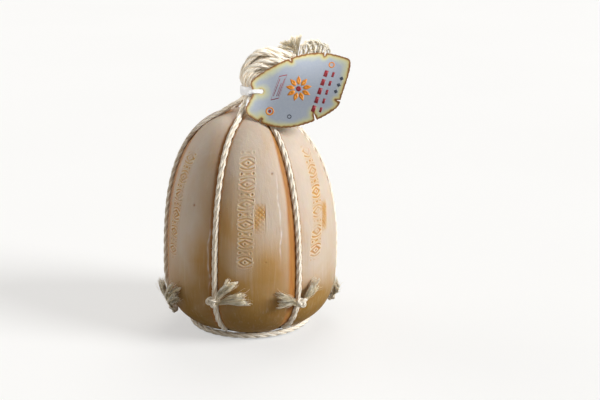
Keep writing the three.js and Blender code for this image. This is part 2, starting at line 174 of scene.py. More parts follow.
def near_surface(t, azimuth, lift, grooved=True):
    """Points at a height above the cheese's ungrooved form, or above its grooved one."""
    t, azimuth = np.broadcast_arrays(np.asarray(t, float), np.asarray(azimuth, float))
    radius, height = melon(t, azimuth)
    low = melon(np.clip(t - 1e-4, 0, 1), azimuth)
    high = melon(np.clip(t + 1e-4, 0, 1), azimuth)
    slope = unit(np.stack([high[0] - low[0], high[1] - low[1]], axis=-1))
    angle = np.radians(azimuth)
    wave = np.sin(2 * angle + 0.8) + np.sin(3 * angle - 0.4 + height / 60)
    rise = lift + UNEVENNESS * wave * smoothstep(radius, 10, 60) * smoothstep(height, 4, 40)
    if grooved:
        rise = rise - groove_depth(azimuth, radius, height)
    place = outward(azimuth) * np.maximum(radius + slope[..., 1] * rise, 0)[..., None]
    place[..., 2] = np.maximum(height - slope[..., 0] * rise, 0)
    place[..., 0] += LEAN * place[..., 2]
    return place


# Paths and meshes


def lengths_along(path):
    return np.concatenate([[0], np.cumsum(np.linalg.norm(np.diff(path, axis=0), axis=1))])


def resample(path, step):
    lengths = lengths_along(path)
    count = max(int(round(lengths[-1] / step)), 4) + 1
    stations = np.linspace(0, lengths[-1], count)
    return np.stack([np.interp(stations, lengths, path[:, axis]) for axis in range(3)], axis=1)


def smooth_path(points, step):
    """Evenly spaced points on a smooth curve through a few others."""
    points = np.asarray(points, float)
    gaps = np.sqrt(np.linalg.norm(np.diff(points, axis=0), axis=1))
    knots = np.concatenate([[0], np.cumsum(gaps)])
    slopes = np.gradient(points, knots, axis=0)
    pieces = []
    for index, gap in enumerate(gaps):
        s = np.linspace(0, 1, 25)[:, None]
        pieces.append(
            (2 * s**3 - 3 * s**2 + 1) * points[index]
            + (s**3 - 2 * s**2 + s) * gap * slopes[index]
            + (3 * s**2 - 2 * s**3) * points[index + 1]
            + (s**3 - s**2) * gap * slopes[index + 1]
        )
    return resample(np.concatenate(pieces), step)


def frames_along(path, start=(0.0, 1.0, 0.0)):
    """The way of a path at each point and two ways square to it, carried along without a twist."""
    tangents = unit(np.gradient(path, axis=0))
    normals = np.empty_like(path)
    normal = np.array(start)
    for index, tangent in enumerate(tangents):
        normal = unit(normal - tangent * normal.dot(tangent))
        normals[index] = normal
    return tangents, normals, np.cross(tangents, normals)


def turned(normals, binormals, angle):
    """The side way of a path's frames, turned round the path by an angle at each point."""
    return normals * np.cos(angle)[:, None] + binormals * np.sin(angle)[:, None]


def section(angles, power=2.0):
    """The two columns of a round section, or of one squared off by a power above 2."""
    return [np.sign(column) * np.abs(column) ** (2 / power) for column in (np.cos(angles), np.sin(angles))]


def rings_round(centres, one, other, columns):
    """A ring of points round each centre, from two radius vectors and a section's columns."""
    across, aside = columns
    return centres[..., None, :] + one[..., None, :] * across[:, None] + other[..., None, :] * aside[:, None]


class Form:
    """Closed shells gathered into one mesh, with named float values at the points."""

    def __init__(self):
        self.points = []
        self.faces = []
        self.values = {}
        self.count = 0

    def add(self, points, faces, **values):
        points = np.asarray(points, float).reshape(-1, 3)
        self.points.append(points)
        for block in faces:
            self.faces.extend((np.asarray(block) + self.count).tolist())
        for name, value in values.items():
            filled = np.broadcast_to(np.asarray(value, float).reshape(-1), (len(points),))
            self.values.setdefault(name, []).append(filled)
        self.count += len(points)

    def tubes(self, rings, closed=False, **values):
        """Shells from rings of points shaped (tube, ring, side, 3)."""
        tubes, count, sides = rings.shape[:3]
        ring = np.arange(count if closed else count - 1)[:, None]
        side = np.arange(sides)[None, :]
        after = (ring + 1) % count
        beside = (side + 1) % sides
        quads = np.stack(
            np.broadcast_arrays(
                ring * sides + side, ring * sides + beside, after * sides + beside, after * sides + side
            ),
            axis=-1,
        ).reshape(-1, 4)
        starts = np.arange(tubes)[:, None, None] * count * sides
        blocks = [(quads[None] + starts).reshape(-1, 4)]
        if not closed:
            first = np.arange(sides)[::-1]
            last = (count - 1) * sides + np.arange(sides)
            blocks.append((first[None] + starts[:, :, 0]).reshape(-1, sides))
            blocks.append((last[None] + starts[:, :, 0]).reshape(-1, sides))
        self.add(rings, blocks, **values)

    def make(self, name, material, replaced):
        mesh = bpy.data.meshes.new(name)
        mesh.from_pydata((np.concatenate(self.points) * MM).tolist(), [], self.faces)
        for label, values in self.values.items():
            attribute = mesh.attributes.new(label, "FLOAT", "POINT")
            attribute.data.foreach_set("value", np.concatenate(values).astype(np.float32))
        mesh.polygons.foreach_set("use_smooth", np.ones(len(mesh.polygons), dtype=bool))
        mesh.materials.append(material)
        made = bpy.data.objects.new(name, mesh)
        bpy.context.scene.collection.objects.link(made)
        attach(made, "root")
        if replaced:
            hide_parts(*replaced)
        return made


# Twisted cord

STRANDS = 3
STRAND_SIDES = 12
STRAND_SHARE = 0.62
CORD_PITCH = 32.0
CORD_STEP = 1.1
FIBRE_SIDES = 3
FUZZ_RINGS = 5
# A way that few fibres lie along, from which their sides are set.
ASKEW = np.array([0.31, 0.83, 0.47])


def lay_cord(form, path, radius, pitch=CORD_PITCH, phase=0.0, closed=False, start=(0.0, 1.0, 0.0)):
    """Three strands twisted round a path. The radius may change along it."""
    tangents, normals, binormals = frames_along(path, start)
    length = lengths_along(path)
    if closed:
        whole = length[-1] + np.linalg.norm(path[0] - path[-1])
        pitch = whole / (STRANDS * round(whole / pitch / STRANDS) or STRANDS)
    radius = np.broadcast_to(np.asarray(radius, float), (len(path),))
    around = np.linspace(-math.pi, math.pi, STRAND_SIDES, endpoint=False) + math.pi / STRAND_SIDES
    for strand in range(STRANDS):
        out = turned(normals, binormals, phase + 2 * math.pi * (length / pitch + strand / STRANDS))
        beside = np.cross(tangents, out)
        thick = radius * (STRAND_SHARE + 0.02 * np.sin(length / 5.3 + strand * 2 + phase))
        centre = path + out * (radius - thick)[:, None]
        form.tubes(
            rings_round(centre, out * thick[:, None], beside * thick[:, None], section(around))[None],
            closed=closed,
            along=np.repeat(length, STRAND_SIDES),
            around=np.tile(around, len(path)),
            tone=0.5 + 0.25 * math.sin(strand * 2.4 + phase * 3),
        )


def add_fibres(form, paths, thick, share, tones):
    """Thin fibres along many paths at once, with their half thickness at each point of each."""
    ways = unit(np.gradient(paths, axis=1))
    one = unit(np.cross(ways, ASKEW))
    other = np.cross(ways, one)
    thick = thick[..., None]
    corners = np.arange(FIBRE_SIDES) * 2 * math.pi / FIBRE_SIDES
    form.tubes(
        rings_round(paths, one * thick, other * thick, section(corners)),
        along=np.tile(np.repeat(share, FIBRE_SIDES), len(paths)),
        around=0.0,
        tone=np.repeat(tones, len(share) * FIBRE_SIDES),
    )


def add_fuzz(form, path, radius, per_point, length=2.2):
    """Stray fibres that stand off a cord and bend aside as they go."""
    count = int(len(path) * per_point)
    where = random.integers(1, len(path) - 1, count)
    tangents, normals, binormals = frames_along(path)
    out = turned(normals[where], binormals[where], random.uniform(0, 2 * math.pi, count))
    radius = np.broadcast_to(np.asarray(radius, float), (len(path),))[where][:, None]
    lean = random.uniform(-1.6, 1.6, (count, 1))
    ways = unit(out * random.uniform(0.25, 0.8, (count, 1)) + tangents[where] * lean)
    bends = random.normal(0, 0.35, (count, 3))
    bends = bends - ways * np.sum(bends * ways, axis=1, keepdims=True)
    reach = (random.uniform(0.5, 1.0, count) * length)[:, None, None]
    share = np.linspace(0, 1, FUZZ_RINGS)
    thick = random.uniform(0.04, 0.07, count)[:, None] * (1 - 0.75 * share**3)
    roots = path[where] + out * radius * 0.9
    paths = roots[:, None] + (ways[:, None] * share[:, None] + bends[:, None] * share[:, None] ** 2) * reach
    add_fibres(form, paths, thick, share, random.random(count))


# Materials


class Shader:
    """One material's node tree, with short calls that add nodes to it."""

    def __init__(self, name, roughness):
        self.material = bpy.data.materials.new(name)
        self.material.use_nodes = True
        self.tree = self.material.node_tree
        self.skin = self.tree.nodes["Principled BSDF"]
        self.skin.inputs["Roughness"].default_value = roughness
        self.place = self.node("ShaderNodeTexCoord").outputs["Object"]

    def put(self, socket, value):
        if isinstance(value, bpy.types.NodeSocket):
            self.tree.links.new(value, socket)
        elif socket.type == "RGBA" and len(value) == 3:
            socket.default_value = (*value, 1.0)
        else:
            socket.default_value = value

    def node(self, kind, inputs=None, **settings):
        made = self.tree.nodes.new(kind)
        for name, value in settings.items():
            setattr(made, name, value)
        for name, value in (inputs or {}).items():
            self.put(made.inputs[name], value)
        return made

    def set(self, **inputs):
        for name, value in inputs.items():
            self.put(self.skin.inputs[name.replace("_", " ")], value)

    def value(self, name):
        return self.node("ShaderNodeAttribute", attribute_name=name).outputs["Fac"]

    def math(self, operation, a, b=0.0, clamp=False):
        return self.node("ShaderNodeMath", {0: a, 1: b}, operation=operation, use_clamp=clamp).outputs[0]

    def ramp(self, value, low, high, start=0.0, end=1.0):
        inputs = {"Value": value, "From Min": low, "From Max": high, "To Min": start, "To Max": end}
        return self.node("ShaderNodeMapRange", inputs, clamp=True).outputs[0]

    def mix(self, share, a, b):
        return self.node("ShaderNodeMix", {0: share, 6: a, 7: b}, data_type="RGBA").outputs[2]

    def stretched(self, x, y, z):
        inputs = {"Vector": self.place, "Scale": (x, y, z)}
        return self.node("ShaderNodeMapping", inputs).outputs[0]

    def noise(self, scale, detail=3.0, vector=None, distortion=0.0):
        inputs = {"Scale": scale, "Detail": detail, "Distortion": distortion, "Vector": vector or self.place}
        return self.node("ShaderNodeTexNoise", inputs).outputs["Fac"]

    def bump(self, height, distance, strength=1.0, after=None):
        inputs = {"Height": height, "Distance": distance, "Strength": strength}
        if after:
            inputs["Normal"] = after
        return self.node("ShaderNodeBump", inputs).outputs[0]


def rind_material():
    m = Shader("rind", 0.5)
    height = m.node("ShaderNodeSeparateXYZ", {0: m.place}).outputs["Z"]
    cloud = m.noise(16.0, 3.0)
    blotch = m.noise(38.0, 4.0, distortion=0.6)
    streak = m.noise(1.0, 4.0, m.stretched(330, 330, 22))
    grain = m.noise(900.0, 2.0)
    colour = m.mix(m.ramp(cloud, 0.32, 0.7), (0.57, 0.455, 0.345), (0.63, 0.515, 0.41))
    # The brown value read here carries painted shade as well: low on the cheese and beside the second cord.
    tan = m.math("ADD", m.value("tan"), m.ramp(blotch, 0.3, 0.75, -0.12, 0.14), clamp=True)
    # Darker still towards the very foot, from 110 mm down to 30 mm: partly the rind's colour, partly painted
    # shade.
    low = m.ramp(height, 0.11, 0.03)
    colour = m.mix(tan, colour, m.mix(low, (0.53, 0.30, 0.10), (0.275, 0.142, 0.018)))
    colour = m.mix(m.ramp(streak, 0.56, 0.82, 0.0, 0.22), colour, (0.72, 0.63, 0.52))
    colour = m.mix(m.ramp(streak, 0.42, 0.2, 0.0, 0.25), colour, (0.48, 0.30, 0.15))
    # The groove value carries real stain and, beyond it, painted valley shade; both take this stain colour.
    stain = m.mix(m.ramp(streak, 0.3, 0.7), (0.34, 0.125, 0.02), (0.45, 0.20, 0.04))
    colour = m.mix(m.value("groove"), colour, stain)
    halo = m.mix(m.ramp(streak, 0.3, 0.7), (0.48, 0.24, 0.06), (0.59, 0.345, 0.12))
    colour = m.mix(m.value("halo"), colour, halo)
    colour = m.mix(m.value("rim"), colour, (0.78, 0.66, 0.5))
    stamped = m.mix(m.ramp(cloud, 0.35, 0.65), (0.46, 0.20, 0.04), (0.62, 0.33, 0.07))
    colour = m.mix(m.value("stamp"), colour, stamped)
    colour = m.mix(m.value("crease"), colour, (0.78, 0.71, 0.66))
    colour = m.mix(m.value("pit"), colour, (0.33, 0.12, 0.03))
    m.set(Base_Color=colour, IOR=1.45)
    m.set(Subsurface_Weight=0.35, Subsurface_Scale=0.004, Subsurface_Radius=(1.0, 0.45, 0.18))
    m.set(Roughness=m.ramp(blotch, 0.3, 0.7, 0.5, 0.64))
    normal = m.bump(grain, 0.0002, 0.35)
    normal = m.bump(streak, 0.0008, 0.35, normal)
    m.set(Normal=m.bump(blotch, 0.0012, 0.3, normal))
    return m.material


def cord_material(name, dark, pale, painted_shade):
    """Twisted plant fibre: yarns that spiral along each strand, with painted shade down in the twist and in
    the troughs between the yarns.
    """
    m = Shader(name, 0.88)
    along = m.value("along")
    around = m.value("around")
    yarn = m.math("SINE", m.math("ADD", m.math("MULTIPLY", around, 4.0), m.math("MULTIPLY", along, 1.15)))
    hidden = m.math("COSINE", around)
    fine = m.noise(700.0, 4.0)
    patch = m.noise(90.0, 2.0)
    colour = m.mix(m.ramp(patch, 0.35, 0.7), dark, pale)
    # Painted shade in the troughs between the yarns.
    colour = m.mix(m.ramp(yarn, 0.1, -0.95, 0.0, 0.28), colour, (0.66, 0.52, 0.34))
    # Painted shade where each strand turns in under the others.
    colour = m.mix(m.ramp(hidden, 0.45, -0.2, 0.0, 0.6), colour, painted_shade)
    colour = m.mix(m.ramp(fine, 0.52, 0.75, 0.0, 0.25), colour, (0.70, 0.58, 0.41))
    m.set(Base_Color=colour, Sheen_Weight=0.25, Sheen_Roughness=0.5)
    normal = m.bump(fine, 0.0005, 0.7)
    m.set(Normal=m.bump(yarn, 0.0003, 0.8, normal))
    return m.material


def fray_material():
    m = Shader("fray", 0.85)
    tone = m.value("tone")
    fine = m.noise(500.0, 2.0)
    # Darker roots and paler tips: partly the fibres' own colour, partly painted shade at the roots and a
    # painted highlight at the tips.
    root = m.mix(tone, (0.55, 0.35, 0.12), (1.0, 0.82, 0.48))
    tip = m.mix(tone, (0.88, 0.64, 0.27), (1.0, 0.92, 0.70))
    colour = m.mix(m.ramp(m.value("along"), 0.15, 0.85), root, tip)
    colour = m.mix(m.ramp(fine, 0.5, 0.8, 0.0, 0.3), colour, (0.45, 0.32, 0.13))
    m.set(Subsurface_Weight=0.7, Subsurface_Scale=0.003, Subsurface_Radius=(1.0, 0.95, 0.85))
    m.set(Base_Color=colour, Sheen_Weight=0.15, Sheen_Roughness=0.5)
    m.set(Normal=m.bump(fine, 0.0002, 0.5))
    return m.material


def seal_material():
    m = Shader("seal", 0.32)
    cloud = m.noise(180.0, 2.0)
    m.set(Base_Color=m.mix(cloud, (0.93, 0.93, 0.95), (0.97, 0.97, 0.98)), IOR=1.5)
    m.set(Subsurface_Weight=0.7, Subsurface_Scale=0.004, Subsurface_Radius=(1.0, 0.97, 0.95))
    m.set(Normal=m.bump(m.noise(400.0, 2.0), 0.0002, 0.25))
    return m.material


def card_material():
    m = Shader("card", 0.42)
    edge = m.value("edge")
    patch = m.noise(55.0, 3.0)
    fibre = m.noise(600.0, 3.0)
    worn = m.math("ADD", edge, m.ramp(patch, 0.3, 0.7, -2.4, 2.4))
    colour = m.mix(m.ramp(worn, 3.5, 8.5), (0.52, 0.54, 0.38), (0.37, 0.41, 0.48))
    colour = m.mix(m.ramp(edge, 1.6, 4.6), (0.62, 0.52, 0.20), colour)
    colour = m.mix(m.ramp(fibre, 0.4, 0.75, 0.0, 0.12), colour, (0.7, 0.68, 0.6))
    burnt = m.math("ADD", edge, m.ramp(m.noise(260.0, 3.0), 0.3, 0.7, -0.5, 0.5))
    colour = m.mix(m.ramp(burnt, 0.9, 2.3), (0.24, 0.095, 0.02), colour)
    m.set(Base_Color=colour, Coat_Weight=0.15, Coat_Roughness=0.3)
    m.set(Normal=m.bump(fibre, 0.0001, 0.4))
    return m.material


def print_material(name, colour, other):
    m = Shader(name, 0.45)
    m.set(Base_Color=m.mix(m.ramp(m.noise(300.0, 3.0), 0.35, 0.7), colour, other))
    m.set(Normal=m.bump(m.noise(600.0, 3.0), 0.0001, 0.4))
    return m.material


def floor_material():
    """A pale floor that looks white, yet throws only a little light back up, as a flagged studio floor."""
    m = Shader("floor", 0.8)
    m.set(Base_Color=m.mix(m.noise(2.0, 2.0), (0.40, 0.39, 0.37), (0.43, 0.42, 0.40)))
    seen = m.node("ShaderNodeLightPath").outputs["Is Camera Ray"]
    m.set(Emission_Color=(1.0, 1.0, 1.0), Emission_Strength=m.math("MULTIPLY", seen, 0.5))
    return m.material


# Camera, floor and light


def set_camera():
    lens = bpy.data.cameras.new("camera")
    lens.lens = CAMERA_LENS
    lens.sensor_width = 36
    lens.clip_end = 100
    camera = bpy.data.objects.new("camera", lens)
    camera.location = Vector(CAMERA_PLACE) * MM
    camera.rotation_euler = (math.radians(90 - CAMERA_ELEVATION), 0, 0)
    bpy.context.scene.collection.objects.link(camera)
    bpy.context.scene.camera = camera


def hang_lamp(lamp, azimuth, elevation, target=(0.0, 0.0, 0.0)):
    """A lamp a metre from its target, at an azimuth and an elevation, and aimed at it."""
    way = Vector(outward(np.float64(azimuth)) * math.cos(math.radians(elevation)))
    way.z = math.sin(math.radians(elevation))
    made = bpy.data.objects.new(lamp.name, lamp)
    made.location = Vector(target) * MM + way
    made.rotation_euler = way.to_track_quat("Z", "Y").to_euler()
    bpy.context.scene.collection.objects.link(made)
    return made


def soft_sun(name, azimuth, elevation, strength, softness, colour):
    """A wide distant light, like a large softbox."""
    lamp = bpy.data.lights.new(name, "SUN")
    lamp.energy = strength
    lamp.angle = math.radians(softness)
    lamp.color = colour
    hang_lamp(lamp, azimuth, elevation)


def snoot(name, azimuth, elevation, target, watts, cone, floor):
    """A narrow lamp that lights little beside its target and leaves no pool on the floor."""
    lamp = bpy.data.lights.new(name, "SPOT")
    lamp.energy = watts
    lamp.spot_size = math.radians(cone)
    lamp.spot_blend = 0.5
    lamp.shadow_soft_size = 0.025
    made = hang_lamp(lamp, azimuth, elevation, target)
    spared = bpy.data.collections.new(f"{name} spares")
    spared.objects.link(floor)
    made.light_linking.receiver_collection = spared
    spared.collection_objects[0].light_linking.link_state = "EXCLUDE"


def set_light(floor):
    bpy.context.scene.view_settings.view_transform = "Standard"
    world = bpy.data.worlds.new("studio")
    bpy.context.scene.world = world
    world.use_nodes = True
    tree = world.node_tree
    backdrop = tree.nodes["Background"]
    backdrop.inputs["Color"].default_value = (1.0, 1.0, 1.0, 1.0)
    backdrop.inputs["Strength"].default_value = 1.0
    fill = tree.nodes.new("ShaderNodeBackground")
    fill.inputs["Color"].default_value = (1.0, 0.96, 0.9, 1.0)
    fill.inputs["Strength"].default_value = 0.27
    rays = tree.nodes.new("ShaderNodeLightPath")
    choose = tree.nodes.new("ShaderNodeMixShader")
    tree.links.new(rays.outputs["Is Camera Ray"], choose.inputs[0])
    tree.links.new(fill.outputs[0], choose.inputs[1])
    tree.links.new(backdrop.outputs[0], choose.inputs[2])
    tree.links.new(choose.outputs[0], tree.nodes["World Output"].inputs["Surface"])
    soft_sun("key", 71, 28, 3.5, 26, (0.97, 1.0, 1.04))
    soft_sun("back", 168, 50, 0.8, 40, (1.0, 1.0, 1.0))
    soft_sun("left", -115, 12, 1.3, 50, (1.0, 1.0, 1.0))
    snoot("hank", 22, 38, HANK_AIM, 15.0, 5.0, floor)
    snoot("brush", -60, 35, BRUSH_AIM, 36.0, 4.2, floor)
    snoot("seal", -14, 20, SEAL_AIM, 54.0, 2.0, floor)


def set_floor():
    """A floor much wider than the picture, which is only part of the stage."""
    half = 6.0
    mesh = bpy.data.meshes.new("floor")
    corners = [(-half, -half, 0), (half, -half, 0), (half, half, 0), (-half, half, 0)]
    mesh.from_pydata(corners, [], [(0, 1, 2, 3)])
    mesh.materials.append(floor_material())
    floor = bpy.data.objects.new("floor", mesh)
    bpy.context.scene.collection.objects.link(floor)
    return floor


# The cheese

CHEESE_COLUMNS = 660
CHEESE_ROWS = 320
CHEESE_TOP_T = 0.9985
RIPPLE_HEIGHT = 0.16
# Each stamp column: azimuth at its foot and its top, height of its foot and its top,
# half width, and depth of colour.
STAMPS = [
    (-2.2, -1.4, 83, 200, 7.4, 0.5),
    (46.5, 62.5, 86, 196, 7.8, 1.0),
    (-61.0, -54.5, 82, 197, 7.4, 1.0),
    (124, 126, 84, 196, 7.8, 0.8),
    (184, 186, 84, 196, 7.8, 0.6),
    (244, 246, 84, 196, 7.8, 0.9),
]
SMALL_STAMPS = [
    (7.4, 7.4, 121, 150, 4.8, 1.0),
    (59.5, 63.5, 112, 142, 4.6, 1.0),
    (134, 134, 120, 150, 4.8, 0.8),
    (194, 194, 120, 150, 4.8, 1.0),
    (254, 254, 120, 150, 4.8, 0.8),
]
STAMP_DEPTH = 0.55
RIM_HEIGHT = 0.35
RIM_WIDTH = 0.9
FRIEZE_CELL = 19.0
LATTICE_CELL = 4.6
LINE_HALF = 0.6
LINE_EDGE = 0.4
# Each pit: azimuth, height and size.
PITS = [(17.7, 177, 0.9), (-39.7, 144, 1.1), (11, 92, 0.6), (58, 158, 0.5), (-52, 60, 0.6)]
PIT_DEPTH = 0.7
# Each pale crease: azimuth, height of its foot and its top, and strength.
CREASES = [
    (21.0, 96, 168, 0.75),
    (-26.4, 66, 132, 0.7),
    (88, 80, 150, 0.7),
    (149, 90, 160, 0.8),
    (222, 80, 150, 0.8),
]
CREASE_DEPTH = 0.25
CREASE_WIDTH = 0.75
# How strongly the groove is coloured to the left and to the right of each cord.
GROOVE_TINTS = np.array([(0.8, 1.0), (0.8, 0.65), (1.0, 0.45), (0.9, 0.8), (0.8, 0.8), (0.8, 0.8)])
# Strength of the painted shade of the broad valley, beyond each stained groove side.
VALLEY_SHADE = 0.28
# Brown and painted-shade bands, and a paler one: azimuth, half width, strength,
# and the heights where it starts and is full. The two narrow bands beside the second cord are painted shade
# in its valley; the low ones on the middle and the back are partly the rind's colour and partly painted shade
# towards the foot; the paler one, low on the right, takes some of that painted shade away.
TAN_AND_SHADE_BANDS = [(2, 22, 0.6, 165, 40), (175, 60, 0.3, 165, 40), (-17, 9, 0.6, 205, 120), (-31, 9, 0.5, 215, 150)]
TAN_AND_SHADE_BANDS += [(62, 26, -0.3, 40, 80)]


def stroke(distance, half):
    """1 on a line of that half width, falling to 0 beside it."""
    return smoothstep(distance, half + LINE_EDGE, half - LINE_EDGE)


def frieze(across, along, half, extra):
    """A stamped band: a lozenge round a dot, bars that bow round it, and a bar with a dot at each side."""
    v = (along % FRIEZE_CELL) - FRIEZE_CELL / 2
    lozenge = np.abs(np.abs(across) / half + np.abs(v) / 4.0 - 0.84) * 3.2
    mark = np.maximum(stroke(lozenge, 0.75 + extra), stroke(np.hypot(across, v), 1.1 + extra))
    bowed = np.abs(np.abs(v) - 5.6 + 0.035 * across**2)
    mark = np.maximum(mark, stroke(bowed, 0.7 + extra) * (np.abs(across) < half * 0.97 + extra))
    gap = FRIEZE_CELL / 2 - np.abs(v)
    mark = np.maximum(mark, stroke(np.hypot(np.abs(across) - half * 0.74, gap), 1.2 + extra))
    return np.maximum(mark, stroke(np.hypot(across / 2.4, gap), 1.0 + extra / 2))


def lattice(across, along, half, extra):
    """A small stamped block of crossing slanted lines between two upright ones."""
    one = np.abs(((across + along) % LATTICE_CELL) - LATTICE_CELL / 2)
    two = np.abs(((across - along) % LATTICE_CELL) - LATTICE_CELL / 2)
    lines = np.maximum(stroke(one, LINE_HALF), stroke(two, LINE_HALF)) * (np.abs(across) < half)
    return np.maximum(lines, stroke(np.abs(np.abs(across) - half), LINE_HALF + extra))


def slow_noise(azimuth, height, seed):
    """A smooth uneven value round the cheese, mostly between -1 and 1, that joins up behind it."""
    angle = np.radians(azimuth)
    total = np.zeros(np.broadcast(azimuth, height).shape)
    source = np.random.default_rng(seed)
    for _ in range(9):
        turns = source.integers(1, 9)
        total = total + np.sin(turns * angle + height * source.uniform(-0.12, 0.12) + source.uniform(0, 6.3))
    return total / 3


def stamp_mask(azimuth, radius, height):
    """How deeply each point is stamped, how strongly it is coloured, its pale rim and the stain round it."""
    mask = np.zeros_like(height)
    ink = np.zeros_like(height)
    wide = np.zeros_like(height)
    halo = np.zeros_like(height)
    warp = 0.45 * slow_noise(azimuth * 4, height * 3, 21)
    for kind, table, stain, ease in ((frieze, STAMPS, 0.66, 22), (lattice, SMALL_STAMPS, 0.95, 9)):
        for low_azimuth, high_azimuth, low, high, half, colour in table:
            centre = mix(low_azimuth, high_azimuth, (height - low) / (high - low))
            across = arc_from(azimuth, centre, radius) + warp
            along = height - low + 0.8 * warp
            middle = within(height, low - 4, low + ease, high + 4, high - ease)
            middle = middle * smoothstep(np.abs(across), half + 2.5, half - 2.5)
            halo = np.maximum(halo, stain * mix(0.5, 1, colour) * middle)
            inside = (np.abs(across) < half + 1.4) & (height > low) & (height < high)
            strength = inside * mix(0.3, 1, within(height, low, low + 12, high, high - 10))
            stamp = kind(across, along, half, 0.0) * strength
            mask = np.maximum(mask, stamp)
            ink = np.maximum(ink, stamp * colour)
            wide = np.maximum(wide, kind(across, along, half, RIM_WIDTH) * strength)
    return mask, ink, np.clip(wide - mask, 0, 1), halo


def crease_mask(azimuth, radius, height):
    """How strongly each point lies in a pale, broken crease."""
    crease = np.zeros_like(height)
    broken = 0.7 + 0.3 * np.sin(height / 1.9 + 2 * np.sin(height / 6)) + 0.2 * np.sin(height / 4.3)
    for centre, low, high, amount in CREASES:
        line = centre + 0.5 * np.sin(height / 9.0) + 0.3 * np.sin(height / 3.7 + 1)
        strength = amount * np.clip(broken, 0, 1) * within(height, low - 12, low + 12, high + 14, high - 14)
        crease = np.maximum(crease, strength * bell(arc_from(azimuth, line, radius), CREASE_WIDTH))
    return crease


def pit_mask(azimuth, radius, height):
    pit = np.zeros_like(height)
    for centre, level, size in PITS:
        pit = np.maximum(pit, bell(np.hypot(arc_from(azimuth, centre, radius), height - level), size))
    return pit


def groove_colour(azimuth, radius, height, uneven):
    """How strongly the sides of the grooves are stained, with painted shade of the broad valley beyond them.
    """
    offset, nearest = cord_offset(azimuth)
    distance = np.radians(offset) * radius
    strength = np.where(distance < 0, GROOVE_TINTS[nearest, 0], GROOVE_TINTS[nearest, 1])
    reach = groove_reach(offset, nearest, radius) * (1 + 0.08 * uneven)
    stain = bell(distance, reach, 8) + VALLEY_SHADE * bell(distance, 2 * reach)
    return np.clip(strength * stain * smoothstep(radius, 8, 30) * smoothstep(height, 2, 26), 0, 1)


def tan_and_shade_colour(azimuth, height, uneven):
    """How brown the rind is: towards the foot partly its own colour and partly painted shade,
    and in a few soft bands, two of them painted shade beside the second cord.
    """
    tan = 0.22 * uneven + 0.35 * smoothstep(height, 165, 40) + 0.8 * smoothstep(height, 85, 20)
    for centre, width, amount, start, full in TAN_AND_SHADE_BANDS:
        tan = tan + amount * bell(azimuth - centre, width) * smoothstep(height, start, full)
    return np.clip(tan, 0, 1)


def dense_samples(low, high, count, density):
    """Values from low to high, closer together where the density is higher."""
    fine = np.linspace(low, high, 20001)
    total = np.concatenate([[0], np.cumsum((density(fine)[1:] + density(fine)[:-1]) / 2)])
    return np.interp(np.linspace(0, total[-1], count), total, fine)


def column_density(azimuth):
    offset, _ = cord_offset(azimuth)
    density = 1 + 1.2 * bell(offset, 5.5)
    for low, high, *_ in STAMPS + SMALL_STAMPS:
        density = density + 1.6 * bell(turn_from(azimuth, (low + high) / 2), 6 + abs(high - low) / 2, 4)
    for centre, *_ in CREASES:
        density = density + 1.8 * bell(turn_from(azimuth, centre), 2.2, 4)
    return density


def row_density(t):
    height = np.interp(t, TABLE_T, TABLE_HEIGHT)
    speed = np.hypot(np.gradient(TABLE_RADIUS, TABLE_T), np.gradient(TABLE_HEIGHT, TABLE_T))
    return np.interp(t, TABLE_T, speed) * (1 + 0.9 * within(height, 72, 82, 206, 196))


def with_ends(values):
    """Values at the grid's points as one row, with a 0 for the foot's middle and one for the apex."""
    return np.concatenate([values.reshape(-1), [0, 0]])


def make_cheese(material):
    azimuths = dense_samples(-180, 180, CHEESE_COLUMNS + 1, column_density)[:-1]
    ts = dense_samples(0.0, CHEESE_TOP_T, CHEESE_ROWS, row_density)
    t, azimuth = np.meshgrid(ts, azimuths, indexing="ij")
    radius, height = melon(t, azimuth)
    uneven = slow_noise(azimuth, height, 3)
    worn = np.clip(0.78 + 0.6 * slow_noise(azimuth * 3, height * 2.4, 11), 0.15, 1)
    stamp, ink, rim, halo = stamp_mask(azimuth, radius, height)
    crease = crease_mask(azimuth, radius, height)
    pit = pit_mask(azimuth, radius, height)
    lift = (RIM_HEIGHT * rim - STAMP_DEPTH * stamp) * (0.4 + 0.6 * worn)
    lift = lift + RIPPLE_HEIGHT * uneven * smoothstep(radius, 10, 40) * smoothstep(height, 3, 20)
    points = near_surface(t, azimuth, lift - CREASE_DEPTH * crease - PIT_DEPTH * pit)
    index = np.arange(CHEESE_ROWS * CHEESE_COLUMNS).reshape(CHEESE_ROWS, CHEESE_COLUMNS)
    beside = np.roll(index, -1, axis=1)
    quads = np.stack([index[:-1], beside[:-1], beside[1:], index[1:]], axis=-1).reshape(-1, 4)
    foot = np.full(CHEESE_COLUMNS, index.size)
    under = np.stack([foot, beside[0], index[0]], axis=-1)
    over = np.stack([foot + 1, index[-1], beside[-1]], axis=-1)
    ends = np.array([[0, 0, 0], [LEAN * HEIGHT, 0, HEIGHT]])
    form = Form()
    form.add(
        np.concatenate([points.reshape(-1, 3), ends]),
        [quads, under, over],
        groove=with_ends(groove_colour(azimuth, radius, height, uneven)),
        stamp=with_ends(ink * worn),
        rim=with_ends(rim * worn * 0.7),
        halo=with_ends(halo * np.sqrt(worn)),
        crease=with_ends(crease),
        tan=with_ends(tan_and_shade_colour(azimuth, height, uneven)),
        pit=with_ends(pit),
    )
    form.make("rind_and_paste", material, ["cheese_body"])


# Cords round the cheese

CORD_STATIONS = 90
RING_POINTS = 340
# The thin second cord beside the first: its share of the thickness, the height of its lower end,
# and how many degrees it strays.
SECOND_CORD = (0.72, 188, 7.0)
# A knot's half width, half length and half depth, and how far its middle stands off its cord.
KNOT_REACH = (4.9, 3.9, 1.9)
KNOT_STANDOFF = 4.6
KNOT_YARN = 2.1
COLLAR_YARN = 1.7


